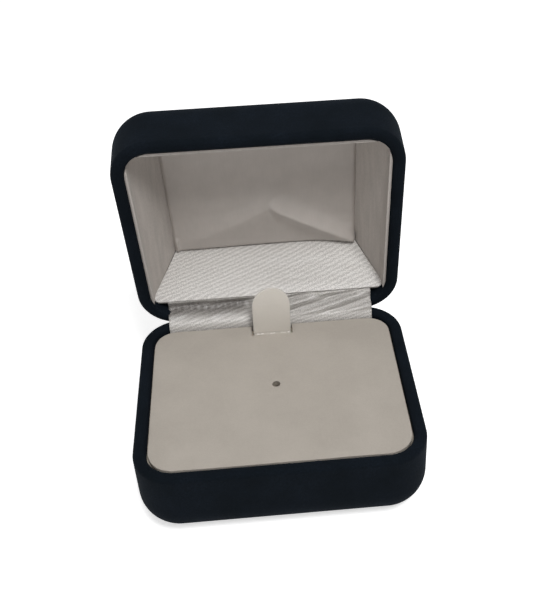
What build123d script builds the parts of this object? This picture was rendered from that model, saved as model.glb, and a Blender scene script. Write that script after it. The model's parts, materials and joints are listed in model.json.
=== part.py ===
from build123d import *
import math
import os

os.makedirs("parts", exist_ok=True)

# Insignia presentation box, shown open on its sprung hinge.
# Millimetres, +Z up, origin at the middle of the base's underside, hinge at the back (+Y).
# The lid is built like the base, rim up, then turned over onto it and swung open.

# Outer form
WIDTH = 70.0
DEPTH = 57.0
BASE_HEIGHT = 22.0
LID_HEIGHT = 20.0
PLAN_CORNER = 10.0
BASE_EDGE = 9.3
LID_EDGE = 9.0
SIDE_FLARE = 1.8
RIM_ROUND = 1.4
PARTING_GAP = 0.3
OPEN_ANGLE = 86.0

# Walls and velvet
VELVET = 0.5
GLUE_LINE = 0.05
SHELL_WALL = 2.0
LIP_DEPTH = 5.0
PATCH_MARGIN = 1.0
PATCH_GAP = 0.2
PATCH_CORNER = 5.0

# Hinge
AXIS_INSET = 1.2
HINGE_LENGTH = 46.0
PIN_RADIUS = 0.55
PIN_CLEARANCE = 0.05
PIN_HEAD = 0.5
PIN_HEAD_RADIUS = 0.85
LEAF = 0.4
LEAF_DROP = 8.0
LEAF_CORNER = 1.5
LEAF_FIT = 0.05
KNUCKLES_EACH_SIDE = 3
KNUCKLE_GAP = 0.25
KNUCKLE_SEAM = 0.25
SPRING_BAY = 8.0
BAY_SHOULDER = 1.0
BAY_DEPTH = 4.6
NOTCH_LENGTH = 54.8
NOTCH_CLEARANCE = 0.3
RIVET_SPACING = 30.0
RIVET_RADIUS = 0.9
RIVET_FIT = 0.05
RIVET_HEAD_RADIUS = 1.6
RIVET_HEAD = 0.3
RIVET_HEAD_ROUND = 0.24
RIVET_DROP = 5.2

# Spring
SPRING_WIRE = 0.45
SPRING_TURNS = 4.25
SPRING_PITCH = 0.6
SPRING_FIT = 0.1
SPRING_LEG = 5.8
SPRING_SPLAY = 5.0

# Insert
INSERT_FIT = 0.4
INSERT_DROP = 0.8
INSERT_REAR_GAP = 1.6
INSERT_REAR_CORNER = 5.5
BOARD = 1.2
FLOCK = 0.4
PIN_HOLE_RADIUS = 1.0
PIN_HOLE_Y = 0.9
PIN_WELL_RADIUS = 1.4
PIN_WELL_DEPTH = 10.0
COLLAR = 1.4
COLLAR_FIT = 0.1
COLLAR_DEPTH = 8.0
FOAM_FIT = 0.3
FOAM_EDGE_EASE = 1.0

# Pull tab
TAB_WIDTH = 10.0
TAB_LENGTH = 13.6
TAB_THICKNESS = 0.6
TAB_LEAN = 12.0
TAB_SETBACK = 3.1
TAB_SIDE_GAP = 0.5
TAB_CREASE_GAP = 0.25

# Lid lining
CARD = 0.7
LINING_FIT = 0.15
WALL_GAP = 0.25
LINING_START = 1.0
LINING_BEND = 4.0
LINING_BEND_RADIUS = 6.0
WALL_RISE = 1.05
CEILING_SIDE_SETBACK = 10.2
CEILING_FRONT_SETBACK = 9.9
CEILING_REAR_SETBACK = 13.5
CEILING_BOARD = 1.0
CEILING_FIT = 0.1
CEILING_MARGIN = 1.5
PAD_GAP = 0.2
PAD_SPLAY = 20.0
WADDING = 1.2
SATIN = 0.3
PAD_CROWN_RADIUS = 1.1
PANEL_START = 2.2
PANEL_FOOT_SETBACK = 3.2
PANEL_CORNER = 2.5
PANEL_CORNER_EASE = 0.2058
PANEL_SIDE_GAP = 0.65

# Ribbon across the hinge
RIBBON_SIDE_MARGIN = 4.15
RIBBON_SIDE_CLEARANCE = 0.5
RIBBON = 0.35
RIBBON_TUCK = 6.0
RIBBON_LIP_GAP = 0.85
RIBBON_BEND = 3.0
RIBBON_RISE = 0.7
RIBBON_END_GAP = 0.5

# Places worked out from the sizes above
REAR = DEPTH / 2
SHELL_OUT = VELVET + GLUE_LINE
SHELL_IN = SHELL_OUT + SHELL_WALL
LIP_OUT = SHELL_IN + GLUE_LINE
RIM = LIP_OUT + VELVET
AXIS_Y = REAR - AXIS_INSET
AXIS_Z = BASE_HEIGHT + PARTING_GAP / 2
LID_RIM = BASE_HEIGHT + PARTING_GAP
LID_TOP = LID_RIM + LID_HEIGHT
KNUCKLE_RADIUS = PIN_RADIUS + PIN_CLEARANCE + LEAF
LEAF_BACK = AXIS_Y - KNUCKLE_RADIUS + LEAF
INSERT_TOP = BASE_HEIGHT - INSERT_DROP
INSERT_LOW = INSERT_TOP - FLOCK - BOARD
INSERT_REAR = REAR - RIM - INSERT_REAR_GAP
CREASE_Y = INSERT_REAR - TAB_SETBACK
CREASE_Z = INSERT_TOP - TAB_THICKNESS / 2
SIDE_FOOT = WIDTH / 2 - RIM - LINING_FIT - CARD
FRONT_FOOT = -DEPTH / 2 + RIM + LINING_FIT + CARD
CEILING_DEPTH = LID_HEIGHT - SHELL_IN - 2 * CEILING_FIT - CEILING_BOARD - WALL_RISE
CEILING_HALF_WIDTH = WIDTH / 2 - CEILING_SIDE_SETBACK
CEILING_FRONT = -DEPTH / 2 + CEILING_FRONT_SETBACK
CEILING_REAR = REAR - CEILING_REAR_SETBACK
PANEL_FOOT_Y = REAR - RIM - PANEL_FOOT_SETBACK
RIBBON_WIDTH = WIDTH - 2 * (RIM + RIBBON_SIDE_MARGIN)


def save(shape, node):
    """Write one node's solids."""
    export_step(shape, f"parts/{node}.step")


def slab(x, y, z):
    """A plain block between three pairs of limits."""
    size = (x[1] - x[0], y[1] - y[0], z[1] - z[0])
    middle = (sum(x) / 2, sum(y) / 2, sum(z) / 2)
    return Pos(*middle) * Box(*size)


# The rounded block that every wall, skin and lining is cut from
def block(height, edge, inset, top, floor=None):
    """Outer form taken in by inset: round plan, round underside, sides drawn in to the rim."""
    low = inset if floor is None else floor
    spread = (height - low) * math.tan(math.radians(SIDE_FLARE)) - inset
    plan = RectangleRounded(WIDTH + 2 * spread, DEPTH + 2 * spread, PLAN_CORNER + spread)
    body = extrude(Pos(0, 0, low) * plan, amount=top - low, taper=SIDE_FLARE)
    return fillet(body.edges().group_by(Axis.Z)[0], edge - inset)


def cup(height, edge, outside, inside):
    """Open cup between two insets, with a rounded rim."""
    rim = height - outside
    wall = block(height, edge, outside, rim) - block(height, edge, inside, height + 1)
    lips = wall.edges().filter_by(lambda e: abs(e.center().Z - rim) < 0.01)
    return fillet(lips, RIM_ROUND - outside)


# The back wall's notch and pocket, for a cup whose rim is at height
def rear_notch(height, grow):
    """Room for the hinge barrel in the rear rim."""
    half = NOTCH_LENGTH / 2 + grow
    floor = height + PARTING_GAP / 2 - KNUCKLE_RADIUS - NOTCH_CLEARANCE - grow
    return slab((-half, half), (REAR - RIM - 1, REAR + 2), (floor, height + 1))


def leaf_room(height, fit):
    """Room for the hinge leaf on the inner face of the rear wall."""
    half = HINGE_LENGTH / 2 + fit
    floor = height + PARTING_GAP / 2 - LEAF_DROP - fit
    return slab((-half, half), (REAR - RIM - 2, LEAF_BACK + fit), (floor, height + 1))


def rivet_line(height, radius, front, back):
    """Two round bars through the rear wall, from front to back along Y."""
    bars = Part()
    for x in (-RIVET_SPACING / 2, RIVET_SPACING / 2):
        place = Pos(x, (front + back) / 2, height + PARTING_GAP / 2 - RIVET_DROP)
        bars += place * Rot(90, 0, 0) * Cylinder(radius, back - front)
    return bars


def moulded_shell(height, edge):
    """Injection-moulded shell with its notch, leaf pocket and rivet holes."""
    shell = cup(height, edge, SHELL_OUT, SHELL_IN)
    shell -= rear_notch(height, VELVET + GLUE_LINE)
    shell -= leaf_room(height, LEAF_FIT)
    shell -= rivet_line(height, RIVET_RADIUS + RIVET_FIT, REAR - RIM, REAR + 1)
    return shell


def velvet_skin(height, edge):
    """Velvet round the outside, over the rim and down inside as a lip."""
    skin = cup(height, edge, 0, RIM)
    filling = cup(height, edge, VELVET, LIP_OUT) - rear_notch(height, VELVET)
    skin -= rear_notch(height, 0)
    skin -= filling
    skin -= block(height, edge, LIP_OUT, height - LIP_DEPTH)
    skin -= leaf_room(height, LEAF_FIT + GLUE_LINE)
    return skin


def base_patch(grow=0.0):
    """Flat piece of velvet under the base, inside the turned-in edge of the cover."""
    inset = BASE_EDGE + PATCH_MARGIN - grow
    plan = RectangleRounded(WIDTH - 2 * inset, DEPTH - 2 * inset, PATCH_CORNER + grow)
    return extrude(plan, amount=VELVET)


# Turning a cup over, closing it and opening it
def closed(shape):
    """Rim-up cup parts, turned over onto the base."""
    return Pos(0, 0, LID_TOP) * mirror(shape, Plane.XY)


def opened(shape):
    """Closed lid parts, swung back about the hinge pin."""
    swing = Pos(0, AXIS_Y, AXIS_Z) * Rot(-OPEN_ANGLE, 0, 0) * Pos(0, -AXIS_Y, -AXIS_Z)
    return swing * shape


def in_lid(shape):
    """Rim-up lid parts, in their place on the open lid."""
    return opened(closed(shape))


# Base
def base_collar():
    """Three-sided board collar that the insert sits on, open at the back for the ribbon."""
    outer = block(BASE_HEIGHT, BASE_EDGE, RIM + COLLAR_FIT, INSERT_LOW)
    inner = block(BASE_HEIGHT, BASE_EDGE, RIM + COLLAR_FIT + COLLAR, BASE_HEIGHT)
    low = INSERT_LOW - COLLAR_DEPTH
    half = RIBBON_WIDTH / 2 + RIBBON_SIDE_CLEARANCE
    ring = (outer - inner) & slab((-WIDTH, WIDTH), (-DEPTH, DEPTH), (low, INSERT_LOW))
    return ring - slab((-half, half), (0, DEPTH), (low - 1, INSERT_LOW + 1))


def base_foam():
    """Foam block under the insert, with a well for a badge pin."""
    inset = RIM + COLLAR_FIT + COLLAR + FOAM_FIT
    foam = block(BASE_HEIGHT, BASE_EDGE + FOAM_EDGE_EASE, inset, INSERT_LOW, SHELL_IN + GLUE_LINE)
    well = Pos(0, PIN_HOLE_Y, INSERT_LOW - PIN_WELL_DEPTH / 2) * Cylinder(PIN_WELL_RADIUS, PIN_WELL_DEPTH)
    return foam - well


# Insert
def insert_outline(inset):
    """Plan of the insert, with the slot that its tab is cut from."""
    side = WIDTH / 2 - RIM - INSERT_FIT - inset
    front = -REAR + RIM + INSERT_FIT + inset
    rear = INSERT_REAR - inset
    corner = PLAN_CORNER - RIM - INSERT_FIT - inset
    plan = Pos(0, (front + rear) / 2) * Rectangle(2 * side, rear - front)
    plan = fillet(plan.vertices().group_by(Axis.Y)[0], corner)
    plan = fillet(plan.vertices().group_by(Axis.Y)[-1], INSERT_REAR_CORNER - inset)
    half = TAB_WIDTH / 2 + TAB_SIDE_GAP + inset
    slot_front = CREASE_Y - TAB_THICKNESS / 2 - TAB_CREASE_GAP - inset
    slot = Pos(0, (slot_front + REAR) / 2) * Rectangle(2 * half, REAR - slot_front)
    return plan - slot - Pos(0, PIN_HOLE_Y) * Circle(PIN_HOLE_RADIUS)


def insert_board():
    """Stiff board of the insert."""
    return extrude(Pos(0, 0, INSERT_LOW) * insert_outline(FLOCK), amount=BOARD)


def insert_flock():
    """Flocked facing, over the board and down its edges."""
    return extrude(Pos(0, 0, INSERT_LOW) * insert_outline(0), amount=BOARD + FLOCK) - insert_board()


def pull_tab():
    """Round-ended tongue of flocked card, standing on its crease and leaning back."""
    half = TAB_WIDTH / 2
    body = Pos(0, (TAB_LENGTH - half) / 2) * Rectangle(TAB_WIDTH, TAB_LENGTH - half)
    tip = Pos(0, TAB_LENGTH - half) * Circle(half)
    blade = extrude(body + tip, amount=TAB_THICKNESS / 2, both=True)
    root = Rot(0, 90, 0) * Cylinder(TAB_THICKNESS / 2, TAB_WIDTH)
    return Pos(0, CREASE_Y, CREASE_Z) * Rot(90 - TAB_LEAN, 0, 0) * (blade + root)


# Hinge
def knuckle_spans(first):
    """X ranges of every second knuckle, on both sides of the spring bay."""
    run = (HINGE_LENGTH - SPRING_BAY) / 2
    length = (run - KNUCKLE_GAP * (KNUCKLES_EACH_SIDE - 1)) / KNUCKLES_EACH_SIDE
    spans = []
    for index in range(first, KNUCKLES_EACH_SIDE, 2):
        low = SPRING_BAY / 2 + index * (length + KNUCKLE_GAP)
        spans.append((low, low + length))
        spans.append((-low - length, -low))
    return spans


def hinge_leaf(first):
    """Stamped leaf with curled knuckles, hanging from the pin, in the base's place."""
    half = HINGE_LENGTH / 2
    front = AXIS_Y - KNUCKLE_RADIUS
    plate = slab((-half, half), (front, LEAF_BACK), (AXIS_Z - LEAF_DROP, AXIS_Z))
    foot = plate.edges().filter_by(Axis.Y).group_by(Axis.Z)[0]
    plate = fillet(foot, LEAF_CORNER)
    clear = AXIS_Z - KNUCKLE_RADIUS - KNUCKLE_GAP
    comb = slab((-half - 1, half + 1), (front - 1, LEAF_BACK + 1), (clear, AXIS_Z + 1))
    bay = SPRING_BAY / 2 - BAY_SHOULDER
    plate -= slab((-bay, bay), (front - 1, LEAF_BACK + 1), (AXIS_Z - BAY_DEPTH, AXIS_Z + 1))
    leaf = plate - comb
    for low, high in knuckle_spans(first):
        strip = plate & slab((low, high), (front, LEAF_BACK), (clear - 1, AXIS_Z))
        curl = Cylinder(KNUCKLE_RADIUS, high - low) - Cylinder(KNUCKLE_RADIUS - LEAF, high - low)
        curl = Pos((low + high) / 2, AXIS_Y, AXIS_Z) * Rot(0, 90, 0) * curl
        leaf += strip + curl
        seam = (LEAF_BACK, LEAF_BACK + KNUCKLE_SEAM)
        leaf -= slab((low, high), seam, (AXIS_Z - KNUCKLE_RADIUS, AXIS_Z - PIN_RADIUS / 2))
    hole = rivet_line(BASE_HEIGHT, RIVET_RADIUS + RIVET_FIT, front - 1, LEAF_BACK + 1)
    return leaf - hole


def hinge_pin():
    """Wire pin with a flattened head at each end."""
    pin = Cylinder(PIN_RADIUS, HINGE_LENGTH + 2 * KNUCKLE_GAP)
    for end in (-1, 1):
        middle = end * (HINGE_LENGTH / 2 + KNUCKLE_GAP + PIN_HEAD / 2)
        pin += Pos(0, 0, middle) * Cylinder(PIN_HEAD_RADIUS, PIN_HEAD)
    return Pos(0, AXIS_Y, AXIS_Z) * Rot(0, 90, 0) * pin


def hinge_rivets():
    """Pair of rivets through a leaf and the wall behind it, in the base's place."""
    front = AXIS_Y - KNUCKLE_RADIUS
    back = REAR - SHELL_OUT - GLUE_LINE
    shank = rivet_line(BASE_HEIGHT, RIVET_RADIUS, front, back)
    heads = rivet_line(BASE_HEIGHT, RIVET_HEAD_RADIUS, front - RIVET_HEAD, front)
    heads = fillet(heads.edges().group_by(Axis.Y)[0], RIVET_HEAD_ROUND)
    return shank + heads


def spring_leg(start, direction):
    """Straight end of the spring wire, from the coil along a leaf."""
    place = Plane(origin=start, z_dir=direction)
    straight = Cylinder(SPRING_WIRE / 2, SPRING_LEG, align=(Align.CENTER, Align.CENTER, Align.MIN))
    return place * straight + Pos(*start) * Sphere(SPRING_WIRE / 2)


def hinge_spring():
    """Torsion spring round the pin, with one leg on each leaf as they stand open."""
    radius = PIN_RADIUS + SPRING_FIT + SPRING_WIRE / 2
    length = SPRING_TURNS * SPRING_PITCH
    path = Helix(SPRING_PITCH, length, radius)
    section = Plane(origin=path @ 0, z_dir=path % 0) * Circle(SPRING_WIRE / 2)
    coil = Rot(0, 0, 90) * sweep(section, path=path)
    lid_side = math.radians(90 - OPEN_ANGLE + SPRING_SPLAY)
    base_side = math.radians(SPRING_SPLAY)
    lid_leg = spring_leg((0, radius, 0), (math.cos(lid_side), math.sin(lid_side), 0))
    base_leg = spring_leg((-radius, 0, length), (-math.sin(base_side), -math.cos(base_side), 0))
    along_pin = Plane(origin=(-length / 2, AXIS_Y, AXIS_Z), x_dir=(0, 1, 0), z_dir=(1, 0, 0))
    return along_pin.location * (coil + lid_leg + base_leg)


# Lid lining, in the rim-up lid's place
def level(depth):
    """Height of a place this deep below the lid's rim, while the lid is rim up."""
    return LID_HEIGHT - depth


def lining_room():
    """Space inside the velvet lip that every lining piece keeps to."""
    return block(LID_HEIGHT, LID_EDGE, RIM + LINING_FIT, LID_HEIGHT)


def wall_line(foot, head, inset=0.0):
    """Inner face of a card wall in section: upright at the rim, then leaning in to the ceiling."""
    side = math.copysign(1, foot)
    lean = (foot - head) / (CEILING_DEPTH - LINING_BEND)
    low = foot - side * inset
    top = head - side * inset - lean * WALL_RISE
    return [
        (low, level(LINING_START)),
        (low, level(LINING_BEND)),
        (top, level(CEILING_DEPTH + WALL_RISE)),
    ]


def card_wall(plane, foot, head):
    """Card wall bent along its length, long enough to be trimmed by the room that it stands in."""
    inner = FilletPolyline(*wall_line(foot, head), radius=LINING_BEND_RADIUS)
    outer = FilletPolyline(*wall_line(foot, head, -CARD), radius=LINING_BEND_RADIUS + CARD)
    ends = [Line(inner @ 0, outer @ 0), Line(inner @ 1, outer @ 1)]
    section = make_face([inner, outer] + ends)
    return extrude(plane * section, amount=WIDTH, both=True) & lining_room()


def between_walls(gap):
    """Space between the two side walls, less a gap at each."""
    sides = []
    for side in (-1, 1):
        points = wall_line(side * SIDE_FOOT, side * CEILING_HALF_WIDTH, gap)
        sides.append(FilletPolyline(*points, radius=LINING_BEND_RADIUS - gap))
    ends = [Line(sides[0] @ end, sides[1] @ end) for end in (0, 1)]
    return extrude(Plane.XZ * make_face(sides + ends), amount=DEPTH, both=True)


def lid_side_wall(side):
    """Left (-1) or right (1) card wall."""
    return card_wall(Plane.XZ, side * SIDE_FOOT, side * CEILING_HALF_WIDTH)


def lid_front_wall():
    """Front card wall, between the side walls."""
    return card_wall(Plane.YZ, FRONT_FOOT, CEILING_FRONT) & between_walls(WALL_GAP)


def rear_panel(inset, thickness, start):
    """Layer of the sloping rear panel: its foot near the rim, its head at the ceiling."""
    rise = CEILING_DEPTH - PANEL_START
    run = PANEL_FOOT_Y - CEILING_REAR
    length = math.hypot(rise, run)
    knee = (LINING_BEND - PANEL_START) * length / rise
    low_half = SIDE_FOOT - PANEL_SIDE_GAP - inset
    top_half = CEILING_HALF_WIDTH - PANEL_SIDE_GAP - inset
    outline = Polyline(
        (-low_half, inset),
        (low_half, inset),
        (low_half, knee),
        (top_half, length - inset),
        (-top_half, length - inset),
        (-low_half, knee),
        close=True,
    )
    plan = make_face(outline)
    plan = fillet(plan.vertices().group_by(Axis.Y)[0], min(PANEL_CORNER, knee - PANEL_CORNER_EASE) - inset)
    foot = (0, PANEL_FOOT_Y, level(PANEL_START))
    leaning = Plane(origin=foot, x_dir=(1, 0, 0), z_dir=(0, rise, -run))
    return extrude(leaning * Pos(0, 0, start) * plan, amount=thickness) & lining_room()


def rear_panel_card():
    """Card inside the satin-covered rear panel."""
    return rear_panel(SATIN, CARD, SATIN)


def rear_panel_satin():
    """Satin over the face and edges of the rear panel."""
    return rear_panel(0, SATIN + CARD, 0) - rear_panel_card()


def ceiling_board():
    """Board that the ceiling pad is stretched over."""
    half = CEILING_HALF_WIDTH + CEILING_MARGIN
    front = CEILING_FRONT - CEILING_MARGIN
    rear = CEILING_REAR + CEILING_MARGIN
    low = SHELL_IN + CEILING_FIT
    return slab((-half, half), (front, rear), (low, low + CEILING_BOARD)) & lining_room_above(low)


def lining_room_above(low):
    """Space over the shell's inner face, from its ceiling down."""
    return block(LID_HEIGHT, LID_EDGE, SHELL_IN + CEILING_FIT, LID_HEIGHT, low)


def ceiling_pad(inset):
    """Swelled pad under the ceiling board, its sides splayed to follow the walls."""
    low = SHELL_IN + CEILING_FIT + CEILING_BOARD
    lean = math.tan(math.radians(PAD_SPLAY)) * (WADDING + SATIN)
    half = CEILING_HALF_WIDTH - lean - PAD_GAP - inset
    front = CEILING_FRONT + lean + PAD_GAP + inset
    rear = CEILING_REAR - lean - PAD_GAP - inset
    plan = Pos(0, (front + rear) / 2, low) * Rectangle(2 * half, rear - front)
    pad = extrude(plan, amount=WADDING + SATIN - inset, taper=-PAD_SPLAY)
    return fillet(pad.edges().group_by(Axis.Z)[-1], PAD_CROWN_RADIUS - inset)


def ceiling_wadding():
    """Wadding that swells the ceiling."""
    return ceiling_pad(SATIN)


def ceiling_satin():
    """Satin stretched over the wadding."""
    return ceiling_pad(0) - ceiling_wadding()


# Ribbon
def opened_point(y, z):
    """Where a point of the closed lid's section lies once it is open."""
    turn = math.radians(OPEN_ANGLE)
    across = y - AXIS_Y
    up = z - AXIS_Z
    new_y = AXIS_Y + across * math.cos(turn) + up * math.sin(turn)
    new_z = AXIS_Z - across * math.sin(turn) + up * math.cos(turn)
    return new_y, new_z


def hinge_ribbon():
    """Satin ribbon from behind the insert, over the hinge, to the foot of the rear panel."""
    tuck_y = REAR - RIM - RIBBON_LIP_GAP - RIBBON
    foot_y, foot_z = opened_point(PANEL_FOOT_Y, LID_RIM + PANEL_START)
    bend_z = BASE_HEIGHT - RIBBON_RISE
    run = math.hypot(foot_y - tuck_y, foot_z - bend_z)
    share = 1 - RIBBON_END_GAP / run
    end = (tuck_y + share * (foot_y - tuck_y), bend_z + share * (foot_z - bend_z))
    line = FilletPolyline((tuck_y, INSERT_TOP - RIBBON_TUCK), (tuck_y, bend_z), end, radius=RIBBON_BEND)
    section = make_face(offset(line, amount=RIBBON, side=Side.RIGHT))
    return extrude(Plane.YZ * section, amount=RIBBON_WIDTH / 2, both=True)


# Writing the nodes
def main():
    """Write every node in its place, the lid standing open."""
    hinge_plane = Plane.XY.offset(AXIS_Z)
    save(moulded_shell(BASE_HEIGHT, BASE_EDGE), "base_shell")
    save(velvet_skin(BASE_HEIGHT, BASE_EDGE) - base_patch(PATCH_GAP), "base_velvet_cover")
    save(base_patch(), "base_velvet_patch")
    save(base_collar(), "base_collar")
    save(base_foam(), "base_foam_block")
    save(insert_board(), "insert_board")
    save(insert_flock(), "insert_flock_facing")
    save(pull_tab(), "pull_tab")
    save(hinge_leaf(0), "hinge_base_leaf")
    save(hinge_rivets(), "hinge_base_rivets")
    save(hinge_pin(), "hinge_pin")
    save(hinge_spring(), "hinge_spring")
    save(hinge_ribbon(), "hinge_ribbon")
    save(opened(mirror(hinge_leaf(1), hinge_plane)), "hinge_lid_leaf")
    save(opened(mirror(hinge_rivets(), hinge_plane)), "hinge_lid_rivets")
    save(in_lid(moulded_shell(LID_HEIGHT, LID_EDGE)), "lid_shell")
    save(in_lid(velvet_skin(LID_HEIGHT, LID_EDGE)), "lid_velvet_cover")
    save(in_lid(lid_side_wall(-1)), "lid_left_wall")
    save(in_lid(lid_side_wall(1)), "lid_right_wall")
    save(in_lid(lid_front_wall()), "lid_front_wall")
    save(in_lid(rear_panel_card()), "lid_rear_panel_card")
    save(in_lid(rear_panel_satin()), "lid_rear_panel_satin")
    save(in_lid(ceiling_board()), "lid_ceiling_board")
    save(in_lid(ceiling_wadding()), "lid_ceiling_wadding")
    save(in_lid(ceiling_satin()), "lid_ceiling_satin")


main()
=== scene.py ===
import json
import math

import bmesh
import bpy
from mathutils import Matrix, Vector, noise


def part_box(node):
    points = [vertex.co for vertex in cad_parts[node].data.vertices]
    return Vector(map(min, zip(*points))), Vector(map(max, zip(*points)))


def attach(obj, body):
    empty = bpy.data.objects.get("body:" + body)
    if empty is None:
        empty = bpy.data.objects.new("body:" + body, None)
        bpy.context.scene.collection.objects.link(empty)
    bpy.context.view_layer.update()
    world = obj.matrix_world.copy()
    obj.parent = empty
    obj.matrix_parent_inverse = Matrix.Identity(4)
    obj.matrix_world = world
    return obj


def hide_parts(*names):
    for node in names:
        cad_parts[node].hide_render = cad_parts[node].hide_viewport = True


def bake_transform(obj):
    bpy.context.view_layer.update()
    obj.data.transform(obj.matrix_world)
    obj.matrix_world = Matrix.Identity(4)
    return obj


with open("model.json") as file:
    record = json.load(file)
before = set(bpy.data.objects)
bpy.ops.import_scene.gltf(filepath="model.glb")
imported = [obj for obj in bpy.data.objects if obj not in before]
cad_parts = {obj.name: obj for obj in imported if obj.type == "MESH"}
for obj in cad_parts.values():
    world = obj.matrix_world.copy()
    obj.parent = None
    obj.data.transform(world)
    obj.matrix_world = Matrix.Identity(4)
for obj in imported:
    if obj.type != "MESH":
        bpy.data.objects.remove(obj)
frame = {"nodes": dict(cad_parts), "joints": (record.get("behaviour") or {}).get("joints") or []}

bl_info = {
    "name": "Insignia presentation box",
    "version": (1, 0, 0),
    "blender": (4, 5, 0),
    "location": "View3D > Sidebar > Presentation Box",
    "description": "Velvet covers, flocked insert, pull tab, satin lining and hinge ribbon",
    "category": "Object",
}

MM = 0.001
NODES = frame["nodes"]
HINGE = next(joint for joint in frame["joints"] if joint["name"] == "lid_hinge")
CREASE = next(joint for joint in frame["joints"] if joint["name"] == "tab_crease")
HINGE_AXIS = Vector(HINGE["pos_m"])
CREASE_LINE = Vector(CREASE["pos_m"])
OPEN_ANGLE = HINGE["range_deg"][1]
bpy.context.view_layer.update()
# Swings what is made in the closed lid to the open lid.
LID_TURN = Matrix.Rotation(math.radians(-OPEN_ANGLE), 4, "X")
LID_OPEN = Matrix.Translation(HINGE_AXIS) @ LID_TURN @ Matrix.Translation(-HINGE_AXIS)
# Foot and head of the rear panel's face in the closed lid, and how far behind it the side walls end.
PANEL_FOOT = Vector((0, 22.2, 24.5)) * MM
PANEL_HEAD = Vector((0, 15.0, 37.5)) * MM
WALL_TUCK = 0.12 * MM
# The pull tab leans back from upright by this much.
TAB_LEAN = math.radians(12)
# Twill lines slant on the cloth by this much, and one band of the wave texture is this over its scale.
TWILL_SLANT = math.radians(-20)
WAVE_BAND = 0.314


def linear(code):
    """An sRGB hex colour as linear red, green, blue and full alpha."""
    channels = []
    for start in (0, 2, 4):
        value = int(code[start:start + 2], 16) / 255
        channels.append(value / 12.92 if value <= 0.04045 else ((value + 0.055) / 1.055) ** 2.4)
    return (*channels, 1)


def size_property(name, description, millimetres):
    """A length the user can change, shown in metres by Blender's own units."""
    return bpy.props.FloatProperty(
        name=name, description=description, default=millimetres * MM, subtype="DISTANCE", unit="LENGTH"
    )


def colour_property(name, description, code):
    """A colour the user can change."""
    return bpy.props.FloatVectorProperty(
        name=name, description=description, default=linear(code)[:3], size=3, subtype="COLOR", min=0, max=1
    )


class BoxSizes(bpy.types.PropertyGroup):
    """Sizes of the soft and flocked pieces."""

    flock_round: size_property("Flock edge round", "Round on the insert's flocked edges", 0.3)
    flock_wave: size_property("Flock edge wave", "How far the pile wanders along the insert's edges", 0.16)
    tab_edge: size_property("Tab edge round", "Round on the cut edge of the pull tab", 0.12)
    tab_width: size_property("Tab width", "Width of the pull tab", 10.0)
    tab_length: size_property("Tab length", "Length of the pull tab from its crease", 13.6)
    tab_thickness: size_property("Tab thickness", "Thickness of the pull tab", 0.6)
    satin_thickness: size_property("Satin thickness", "Thickness of the satin cloth", 0.25)
    panel_crown: size_property("Panel crown", "Swell in the middle of the rear satin panel", 0.25)
    ceiling_crest: size_property("Ceiling crest", "Height of the pucker in the satin ceiling", 2.6)
    ribbon_dip: size_property("Ribbon dip", "Depth of the fold across the hinge ribbon", 1.0)
    twill_pitch: size_property("Twill pitch", "Distance between diagonal lines of the satin weave", 1.15)


class BoxColours(bpy.types.PropertyGroup):
    """Colours of the finishes."""

    velvet: colour_property("Velvet", "Dark navy pile, nearly black", "0E1318")
    velvet_nap: colour_property("Velvet nap", "Pile brushed the other way", "171D25")
    flock: colour_property("Flock", "Off-white flock of the insert", "B1AAA1")
    flock_shade: colour_property("Flock shade", "Darker patches in the flock", "A9A299")
    # Painted light: the tab's two colours are the insert's flock made paler, for the extra light on the
    # tab's upright face.
    tab: colour_property("Tab", "Paler flock on the face of the pull tab", "D5CFC6")
    tab_painted_lighter_patches: colour_property("Tab shade", "Darker patches on the pull tab", "CFC9C0")
    # The satin's two colours are partly the threads' random tone and partly painted light: paler on raised
    # floats, darker in the valleys between twill lines.
    satin: colour_property("Satin", "Satin of the rear panel and ribbon", "D3D0CC")
    satin_tone_and_valley_shade: colour_property("Satin shade", "Valleys between the satin's twill lines", "A5A19D")
    lining: colour_property("Lining", "Smooth satin paper of the lid walls", "B7B0AA")


# Meshes
def sheet_grid(columns, rows):
    """Flat grid from -0.5 to 0.5 each way, with UVs for a weave that follows the cloth."""
    bm = bmesh.new()
    bm.loops.layers.uv.new("weave")
    bmesh.ops.create_grid(bm, x_segments=columns, y_segments=rows, size=0.5, calc_uvs=True)
    return bm


def merged_copy(node):
    """A CAD piece's mesh as one joined surface, ready to be reshaped."""
    bm = bmesh.new()
    bm.from_mesh(NODES[node].data)
    bmesh.ops.remove_doubles(bm, verts=bm.verts, dist=0.002 * MM)
    bmesh.ops.dissolve_limit(bm, angle_limit=math.radians(0.5), verts=bm.verts, edges=bm.edges)
    return bm


def only(kind, parts):
    """The vertices or the edges among the parts that an operator hands back."""
    return [part for part in parts if isinstance(part, kind)]


def cut_away(bm, point, normal):
    """Take off what lies past a plane, and hand back the edges of the cut."""
    cut = bmesh.ops.bisect_plane(bm, geom=bm.verts[:] + bm.edges[:] + bm.faces[:],
                                 plane_co=point, plane_no=normal, clear_outer=True)
    return only(bmesh.types.BMEdge, cut["geom_cut"])


def make_piece(bm, name, materials, body=None, smooth_angle=35):
    """Turn a finished bmesh into a piece that rides on its body."""
    bmesh.ops.recalc_face_normals(bm, faces=bm.faces)
    mesh = bpy.data.meshes.new(name)
    bm.to_mesh(mesh)
    bm.free()
    piece = bpy.data.objects.new(name, mesh)
    bpy.context.scene.collection.objects.link(piece)
    for material in materials:
        mesh.materials.append(material)
    mesh.shade_smooth()
    mesh.set_sharp_from_angle(angle=math.radians(smooth_angle))
    if body:
        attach(piece, body)
    return piece


def thicken(piece, thickness, offset):
    """Give a cloth surface its real thickness."""
    wall = piece.modifiers.new("cloth thickness", "SOLIDIFY")
    wall.thickness = thickness
    wall.offset = offset


def smoothstep(low, high, value):
    """Smooth rise from 0 at low to 1 at high."""
    share = min(max((value - low) / (high - low), 0.0), 1.0)
    return share * share * (3 - 2 * share)


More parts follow.
